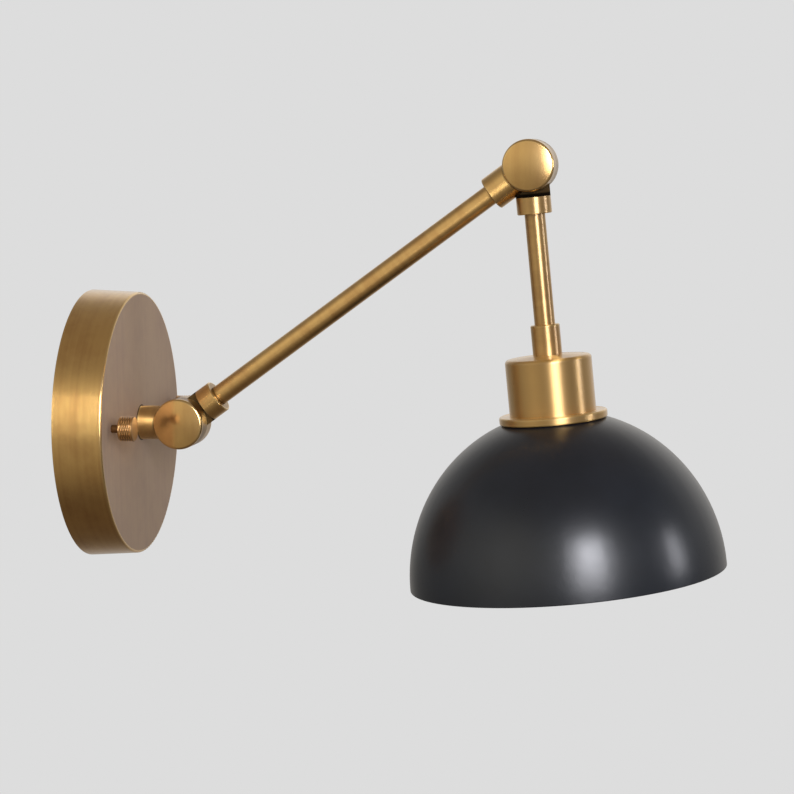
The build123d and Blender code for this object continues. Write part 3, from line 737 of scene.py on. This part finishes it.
class WALLLAMP_OT_thumb_nuts(bpy.types.Operator):
    """Makes the two knurled thumb nuts that hold the backplate to its strap"""

    bl_idname = "wall_lamp.thumb_nuts"
    bl_label = "Thumb nuts"

    def execute(self, context):
        settings = context.scene.wall_lamp
        for name, body in (("thumb_nut_front", "front_nut"), ("thumb_nut_rear", "rear_nut")):
            foot = nut_foot(name)
            # Dirty knurl cuts, and painted shade on the shoulder and the tip.
            groove_dirt_and_shade = partial(self.groove_dirt_and_shade, foot=foot, depth=settings.threads.knurl_depth)
            finish = brass(
                settings, f"{name}_brass", partial(turned, origin=foot, axis=OUTWARD), roughness=0.33,
                colour=settings.colours.nut_brass, patina=0.35, dirt_and_shade=groove_dirt_and_shade)
            bm = bmesh.new()
            self.barrel(bm, settings.threads)
            bmesh.ops.transform(bm, matrix=turn_towards(OUTWARD, foot), verts=bm.verts)
            place_piece(bm, f"knurled_{name}", body, finish, [name], sharp=50)
        return {"FINISHED"}

    def groove_dirt_and_shade(self, place, foot, depth):
        """Dirty knurl cuts, and painted shade on the shoulder behind the barrel and on the tip, which dims its
        reflection.
        """
        groove_dirt, shoulder_shade, tip_shade = 0.62, 0.7, 0.4
        distance, radius, _ = turned_frame(place, foot, OUTWARD)
        deep = 1 - radius.step(NUT_RADIUS * MM - depth * 0.9, NUT_RADIUS * MM - depth * 0.4)
        barrel = radius.step_mm(NUT_RADIUS - 0.8, NUT_RADIUS - 0.7)
        knurled = barrel * (1 - distance.step_mm(KNURL_END - 0.2, KNURL_END))
        behind = 1 - distance.step_mm(NUT_FACE - 0.2, NUT_FACE + 0.2)
        tip = distance.step_mm(KNURL_END, KNURL_END + 0.2)
        return (deep * knurled * groove_dirt).most(behind * shoulder_shade).most(tip * tip_shade)

    def barrel(self, bm, threads):
        """A nut along Z: blind bore, narrow shoulder, knurled barrel and rounded tip."""
        knurl_turns, parts, steps = 5, 8, 192
        knurl_start = NUT_FACE * MM + 0.0005
        row_height = threads.knurl_pitch / parts
        rows = [knurl_start + row * row_height for row in range(knurl_turns * parts + 1)]
        play, shoulder_bevel, barrel_bevel = 0.05, 0.2, 0.4
        bore, bore_end = STUD_RADIUS + play, STUD_TIP + play
        points = [
            (0, bore_end), (bore, bore_end), (bore, PLATE_DEPTH),
            (NUT_SHOULDER_RADIUS - shoulder_bevel, PLATE_DEPTH),
            (NUT_SHOULDER_RADIUS, PLATE_DEPTH + shoulder_bevel),
            (NUT_SHOULDER_RADIUS, NUT_FACE), (NUT_RADIUS - barrel_bevel, NUT_FACE),
        ]
        points += [(NUT_RADIUS, row / MM) for row in rows]
        tip_edge = NUT_TIP - rows[-1] / MM
        for corner in range(1, 7):
            turn = radians(15 * corner)
            points.append((
                NUT_RADIUS - tip_edge * (1 - cos(turn)), rows[-1] / MM + tip_edge * sin(turn)))
        points.append((0, NUT_TIP))
        spun(bm, [(radius * MM, height * MM) for radius, height in points], steps)
        bmesh.ops.recalc_face_normals(bm, faces=bm.faces)
        for vert in bm.verts:
            flat = Vector((vert.co.x, vert.co.y))
            if flat.length > (NUT_RADIUS - 0.02) * MM and vert.co.z < rows[-1] + 1e-6:
                about = flat.angle_signed(Vector((1, 0))) / tau * threads.knurl_count
                forward = (vert.co.z - knurl_start) / threads.knurl_pitch
                phases = (about + forward, about - forward)
                cut = max(abs(2 * ((phase + 0.5) % 1) - 1) for phase in phases)
                end = min(vert.co.z - knurl_start, rows[-1] - vert.co.z) / threads.knurl_pitch
                cut_to = 1 - threads.knurl_depth * cut * min(1, 0.25 + 2 * end) / flat.length
                vert.co = (flat.x * cut_to, flat.y * cut_to, vert.co.z)


class WALLLAMP_OT_wall_fixings(bpy.types.Operator):
    """Threads the studs and finishes the zinc-plated pieces and the earth screw"""

    bl_idname = "wall_lamp.wall_fixings"
    bl_label = "Wall fixings"

    def execute(self, context):
        settings = context.scene.wall_lamp
        zinc = self.zinc(settings.colours)
        dress(
            zinc, "mounting_strap", "stud_lock_nuts", "neck_washer", "neck_nut", "lower_spring_washer",
            "lower_pivot_nut", "upper_spring_washer", "upper_pivot_nut", "holder_nipple", "holder_nut")
        bm = bmesh.new()
        for nut in ("thumb_nut_front", "thumb_nut_rear"):
            stud = self.stud(settings.threads)
            bmesh.ops.transform(stud, matrix=turn_towards(OUTWARD, nut_foot(nut)), verts=stud.verts)
            mesh = bpy.data.meshes.new("stud")
            stud.to_mesh(mesh)
            stud.free()
            bm.from_mesh(mesh)
            bpy.data.meshes.remove(mesh)
        place_piece(bm, "threaded_studs", "base", zinc, ["strap_studs"], sharp=60)
        dress(self.earth_green(settings.colours), "earth_screw")
        return {"FINISHED"}

    def stud(self, threads):
        """A threaded rod along Z with bevelled ends."""
        bm = bmesh.new()
        crest, tip = STUD_RADIUS * MM, STUD_TIP * MM
        thread_depth, bevel, bevel_inset, steps = 0.00027, 0.0003, 0.0004, 20
        wave = v_wave(crest, crest - thread_depth)
        threaded_tube(bm, wave, threads.stud_pitch, bevel, tip - bevel, steps)
        low, high = open_loops(bm)
        for loop, end in ((low, 0.0), (high, tip)):
            rim = pull_loop(bm, loop, crest - bevel_inset, end)
            bmesh.ops.edgeloop_fill(bm, edges=rim)
        bmesh.ops.recalc_face_normals(bm, faces=bm.faces)
        return bm

    def zinc(self, colours):
        """Pale plated steel with a faint spangle."""
        material, place = start_material("zinc_plate")
        spangle = place.noise(900, 3.0)
        cloud = place.noise(90, 4.0, 0.6)
        dull = tuple(level * 0.72 for level in colours.zinc)
        tint = (spangle * 0.4 + cloud * 0.7).step(0.35, 0.75).blend(colours.zinc, dull)
        set_surface(place, {
            "Base Color": tint, "Metallic": 1.0, "Roughness": 0.30 + spangle * 0.16,
            "Normal": (spangle + cloud).bump(0.00001)})
        return material

    def earth_green(self, colours):
        """Plating with a thin green dye, rubbed on the corners."""
        material, place = start_material("green_plate")
        rubbed = place.noise(700, 4.0, 0.65).step(0.52, 0.72)
        tint = (rubbed * 0.5).blend(colours.earth, colours.zinc)
        set_surface(place, {"Base Color": tint, "Metallic": 0.75, "Roughness": 0.34 + rubbed * 0.1})
        return material


class WALLLAMP_OT_knuckles(bpy.types.Operator):
    """Finishes the knuckles, their caps and the friction washers between them"""

    bl_idname = "wall_lamp.knuckles"
    bl_label = "Knuckles"

    def execute(self, context):
        settings = context.scene.wall_lamp
        # Painted shadow line where the neck meets the plate.
        neck_shadow_line = [(WALL, OUTWARD, [(PLATE_DEPTH, COLLAR_RADIUS)])]
        neck = {"satin": 0.0, "shadow_lines": neck_shadow_line}
        arm_half = {"roughness": 0.25, "scratched": 0.85}
        head_half = {"satin": QUARTER_TURN}
        halves = (
            ("base_knuckle", LOWER_PIVOT, -OUTWARD, -1, NECK_END, neck),
            ("arm_lower_knuckle", LOWER_PIVOT, ALONG_ARM, 1, COLLAR_END, arm_half),
            ("arm_upper_knuckle", UPPER_PIVOT, -ALONG_ARM, -1, COLLAR_END, arm_half),
            ("head_knuckle", UPPER_PIVOT, ALONG_HEAD, 1, COLLAR_END, head_half),
        )
        for node, pivot, axis, side, end, brushed in halves:
            edges = [
                (pivot, axis, [(end, COLLAR_RADIUS)]),
                (pivot, ACROSS * side, [
                    (DISC_INNER_FACE, DISC_RADIUS), (DISC_OUTER_FACE, DISC_RADIUS)]),
            ]
            # Painted shade in the knuckle's gap, next to its disc and on its collar's end.
            gap_shade = partial(self.gap_shade, pivot=pivot, axis=axis, side=side, end=end)
            brushing = partial(turned, origin=pivot, axis=axis)
            dress(brass(settings, f"{node}_brass", brushing, edges, dirt_and_shade=gap_shade, **brushed), node)
        caps = (
            ("base_knuckle_cap", LOWER_PIVOT, -1), ("arm_lower_cap", LOWER_PIVOT, 1),
            ("arm_upper_cap", UPPER_PIVOT, -1), ("head_knuckle_cap", UPPER_PIVOT, 1),
        )
        for node, pivot, side in caps:
            edges = [(pivot, ACROSS * side, [(CAP_RIM, DISC_RADIUS - 0.3)])]
            brushing = partial(straight, direction=UP)
            dress(brass(settings, f"{node}_brass", brushing, edges, roughness=0.19, patina=0.5), node)
        dress(self.fibre(settings.colours), "lower_friction_washer", "upper_friction_washer")
        return {"FINISHED"}

    def gap_shade(self, place, pivot, axis, side, end):
        """Painted shade on the face turned to the other half's disc, where the gap lies in shadow, next to
        the root and on the side of the half's own disc, and on its collar's end, where it dims bright
        reflections.
        """
        root_shade, disc_edge_shade, collar_end_shade = 0.7, 0.35, 0.5
        bend = pivot + axis * ((HOLLOW_END - HOLLOW_RADIUS) * MM)
        _, reach, _ = turned_frame(place, bend, ACROSS)
        _, radius, _ = turned_frame(place, pivot, ACROSS)
        depth = place.along(ACROSS) * side
        inner = 1 - reach.step_mm(HOLLOW_RADIUS + 0.05, HOLLOW_RADIUS + 0.25)
        shelf = (1 - depth.step_mm(0.2, 0.3)) * (1 - depth.size().step_mm(0.6, 6.0))
        corner = 0.8 + 0.2 * reach.step_mm(HOLLOW_RADIUS - 2.0, HOLLOW_RADIUS - 1.2)
        beyond = DISC_RADIUS + 0.03
        root = radius.step_mm(beyond, beyond + 0.05) * (1 - radius.step_mm(beyond, beyond + 0.9))
        on_disc = radius.step_mm(DISC_RADIUS - 0.2, DISC_RADIUS - 0.05)
        on_disc = on_disc * (1 - radius.step_mm(beyond, beyond + 0.02))
        distance, out, _ = turned_frame(place, pivot, axis)
        on_end = distance.step_mm(end - 0.3, end - 0.1)
        on_end = on_end * (1 - out.step_mm(COLLAR_RADIUS - 0.9, COLLAR_RADIUS - 0.4))
        around_disc = (root * root_shade).most(on_disc * disc_edge_shade)
        return (shelf * corner * inner).most(around_disc).most(on_end * collar_end_shade)

    def fibre(self, colours):
        """Pressed red fibre with fine flecks."""
        material, place = start_material("red_fibre")
        flecks = place.noise(2600, 4.0, 0.7)
        dark = tuple(level * 0.6 for level in colours.fibre)
        set_surface(place, {
            "Base Color": flecks.step(0.35, 0.7).blend(colours.fibre, dark),
            "Roughness": 0.7 + flecks * 0.15, "Normal": flecks.bump(0.00002)})
        return material


class WALLLAMP_OT_tubes(bpy.types.Operator):
    """Finishes the arm's tube, the head's tube and the collar below it"""

    bl_idname = "wall_lamp.tubes"
    bl_label = "Tubes"

    def execute(self, context):
        settings = context.scene.wall_lamp
        along_arm = partial(turned, origin=LOWER_PIVOT, axis=ALONG_ARM)
        along_head = partial(turned, origin=UPPER_PIVOT, axis=ALONG_HEAD)
        edges = [(UPPER_PIVOT, ALONG_HEAD, [(HOLDER_COLLAR_TOP, HOLDER_COLLAR_RADIUS)])]
        # Painted shadow lines on the tube at the collars' ends.
        arm_shadow_lines = [
            (LOWER_PIVOT, ALONG_ARM, [(COLLAR_END, TUBE_RADIUS)]),
            (UPPER_PIVOT, -ALONG_ARM, [(COLLAR_END, TUBE_RADIUS)]),
        ]
        arm = brass(
            settings, "arm_tube_brass", along_arm, shadow_lines=arm_shadow_lines, roughness=0.3, patina=0.65,
            scratched=0.6)
        dress(arm, "arm_tube")
        dress(brass(settings, "head_tube_brass", along_head, satin=QUARTER_TURN), "head_tube")
        collar = brass(settings, "holder_collar_brass", along_head, edges, satin=QUARTER_TURN)
        dress(collar, "holder_collar")
        return {"FINISHED"}


class WALLLAMP_OT_lampholder(bpy.types.Operator):
    """Finishes the cup and the rings and makes the threaded skirt and the bulb's screw shell"""

    bl_idname = "wall_lamp.lampholder"
    bl_label = "Lampholder"

    def execute(self, context):
        settings = context.scene.wall_lamp
        brushing = partial(turned, origin=UPPER_PIVOT, axis=ALONG_HEAD)
        dress(brass(settings, "cup_brass", brushing, patina=0.05, satin=QUARTER_TURN), "socket_cup")
        ring_edges = [(UPPER_PIVOT, ALONG_HEAD, [
            (CUP_BOTTOM + 0.2, RING_RADIUS - 0.2), (RING_BOTTOM - 0.2, RING_RADIUS - 0.2)])]
        ring = brass(settings, "ring_brass", brushing, ring_edges, patina=0.2, satin=QUARTER_TURN)
        dress(ring, "shade_ring", "retaining_ring")
        plain = brass(settings, "plain_brass", brushing, roughness=0.3, patina=0.25)
        dress(plain, "centre_contact", "terminal_plates", "terminal_screws")
        self.skirt(settings.threads, plain)
        self.shell(settings.threads, plain)
        dress(self.porcelain(settings.colours), "insulator")
        return {"FINISHED"}

    def skirt(self, threads, finish):
        """A brass sleeve with an outside thread, which the retaining ring screws on."""
        bm = bmesh.new()
        crest, bore = SKIRT_RADIUS * MM, SKIRT_BORE * MM
        top, end = SKIRT_TOP * MM, HOLDER_END * MM
        thread_depth, bevel, bevel_inset, steps = 0.0006, 0.0006, 0.0007, 96
        wave = v_wave(crest, crest - thread_depth)
        threaded_tube(bm, wave, threads.skirt_pitch, top + bevel, end - bevel, steps)
        low, high = open_loops(bm)
        inner = []
        for loop, height in ((low, top), (high, end)):
            rim = pull_loop(bm, loop, crest - bevel_inset, height)
            inner += pull_loop(bm, rim, bore, height)
        bmesh.ops.bridge_loops(bm, edges=inner)
        bmesh.ops.recalc_face_normals(bm, faces=bm.faces)
        bmesh.ops.transform(bm, matrix=turn_towards(ALONG_HEAD, UPPER_PIVOT), verts=bm.verts)
        place_piece(bm, "threaded_skirt", "head", finish, ["holder_skirt"])

    def shell(self, threads, finish):
        """Thin rolled screw shell for the bulb, with its heel and flange."""
        bm = bmesh.new()
        outer = mount["bulb_socket"]["dims"]["r_mm"] * MM
        swing = threads.shell_depth / 2
        parts, steps = 10, 80
        heel_inset, sheet = 0.003, 0.0003
        heel_height = (SHELL_TOP + 0.35) * MM
        turns = [part / parts for part in range(parts)]
        wave = [(turn, outer - swing + swing * cos(tau * turn)) for turn in turns]
        threaded_tube(bm, wave, threads.shell_pitch, SHELL_HEEL * MM, SHELL_END * MM, steps)
        low, _ = open_loops(bm)
        heel = pull_loop(bm, low, outer - heel_inset, heel_height)
        pull_loop(bm, heel, SHELL_FLANGE_BORE * MM, heel_height)
        bmesh.ops.recalc_face_normals(bm, faces=bm.faces)
        bmesh.ops.solidify(bm, geom=bm.faces[:], thickness=-sheet)
        bmesh.ops.transform(bm, matrix=turn_towards(ALONG_HEAD, UPPER_PIVOT), verts=bm.verts)
        place_piece(bm, "rolled_shell", "head", finish, ["screw_shell"])

    def porcelain(self, colours):
        """White glaze with faint cloudiness and pinholes."""
        material, place = start_material("white_glaze")
        cloud = place.noise(140, 4.0)
        pinholes = place.noise(2400, 2.0).step(0.72, 0.80)
        warm = tuple(level * shade for level, shade in zip(colours.porcelain, (0.95, 0.92, 0.86)))
        tint = (cloud.step(0.35, 0.7) * 0.6 + pinholes * 0.4).blend(colours.porcelain, warm)
        set_surface(place, {
            "Base Color": tint, "Roughness": 0.22 + cloud * 0.12, "Coat Weight": 0.6,
            "Coat Roughness": 0.08, "Normal": (cloud - pinholes * 0.5).bump(0.00004)})
        return material


class WALLLAMP_OT_shade(bpy.types.Operator):
    """Paints the shade: satin black outside, white enamel inside"""

    bl_idname = "wall_lamp.shade"
    bl_label = "Shade"

    def execute(self, context):
        settings = context.scene.wall_lamp
        colours, grain = settings.colours, settings.grain
        material, place = start_material("shade_paint")
        distance, radius, _ = turned_frame(place, UPPER_PIVOT, ALONG_HEAD)
        half = SHADE_WALL / 2
        above = (SHADE_RIM * MM - distance) / ((SHADE_CROWN - half) * MM)
        out = radius / ((SHADE_RADIUS - half) * MM)
        under = 1 - (above * above + out * out).step(0.992, 1.008)
        below_top = distance.step_mm(RING_BOTTOM + 0.4, RING_BOTTOM + 0.8)
        inside = under * below_top
        peel = place.noise(1500, 2.0)
        cloud = place.noise(26, 4.0, 0.6)
        dust = place.noise(5200, 1.0).step(0.76, 0.82)
        lighter = tuple(level * 1.5 + 0.002 for level in colours.paint)
        black = (cloud.step(0.35, 0.75) * 0.6 + dust * 0.35).blend(colours.paint, lighter)
        cream = tuple(level * shade for level, shade in zip(colours.inside, (0.97, 0.95, 0.90)))
        white = cloud.step(0.3, 0.7).blend(colours.inside, cream)
        rough = grain.paint_roughness + (cloud - 0.5) * 0.06 + (peel - 0.5) * 0.04
        set_surface(place, {
            "Base Color": inside.blend(black, white), "Roughness": rough + inside * 0.05, "IOR": 1.62,
            "Normal": peel.bump(0.000012)})
        dress(material, "shade")
        return {"FINISHED"}


class WALLLAMP_OT_wires(bpy.types.Operator):
    """Finishes the insulated wires"""

    bl_idname = "wall_lamp.wires"
    bl_label = "Wires"

    def execute(self, context):
        colours = context.scene.wall_lamp.colours
        for core, colour in (("live", colours.live), ("neutral", colours.neutral)):
            material, place = start_material(f"{core}_sleeve")
            scuff = place.noise(500, 4.0, 0.6)
            pale = tuple(level * 0.85 + 0.02 for level in colour)
            set_surface(place, {
                "Base Color": scuff.step(0.4, 0.75).blend(colour, pale),
                "Roughness": 0.42 + scuff * 0.2, "Normal": scuff.bump(0.00002)})
            dress(material, *(f"{body}_{core}_wire" for body in ("base", "arm", "head")))
        return {"FINISHED"}


OPERATORS = (
    WALLLAMP_OT_stage,
    WALLLAMP_OT_backplate,
    WALLLAMP_OT_thumb_nuts,
    WALLLAMP_OT_wall_fixings,
    WALLLAMP_OT_knuckles,
    WALLLAMP_OT_tubes,
    WALLLAMP_OT_lampholder,
    WALLLAMP_OT_shade,
    WALLLAMP_OT_wires,
)


class WALLLAMP_PT_pieces(bpy.types.Panel):
    """Lists the lamp's pieces and their settings"""

    bl_label = "Wall lamp"
    bl_idname = "WALLLAMP_PT_pieces"
    bl_space_type = "VIEW_3D"
    bl_region_type = "UI"
    bl_category = "Wall lamp"

    def draw(self, context):
        settings = context.scene.wall_lamp
        for operator in OPERATORS:
            self.layout.operator(operator.bl_idname)
        for group in (settings.colours, settings.grain, settings.threads, settings.studio):
            box = self.layout.box()
            for name in type(group).__annotations__:
                box.prop(group, name)


GROUPS = (LampColours, LampGrain, LampThreads, LampStudio, WallLamp)
CLASSES = (*GROUPS, *OPERATORS, WALLLAMP_PT_pieces)


def register():
    for item in CLASSES:
        bpy.utils.register_class(item)
    bpy.types.Scene.wall_lamp = PointerProperty(type=WallLamp)


def unregister():
    del bpy.types.Scene.wall_lamp
    for item in reversed(CLASSES):
        bpy.utils.unregister_class(item)


def main():
    register()
    for operator in OPERATORS:
        getattr(bpy.ops.wall_lamp, operator.bl_idname.split(".")[1])()


if __name__ == "__main__":
    main()
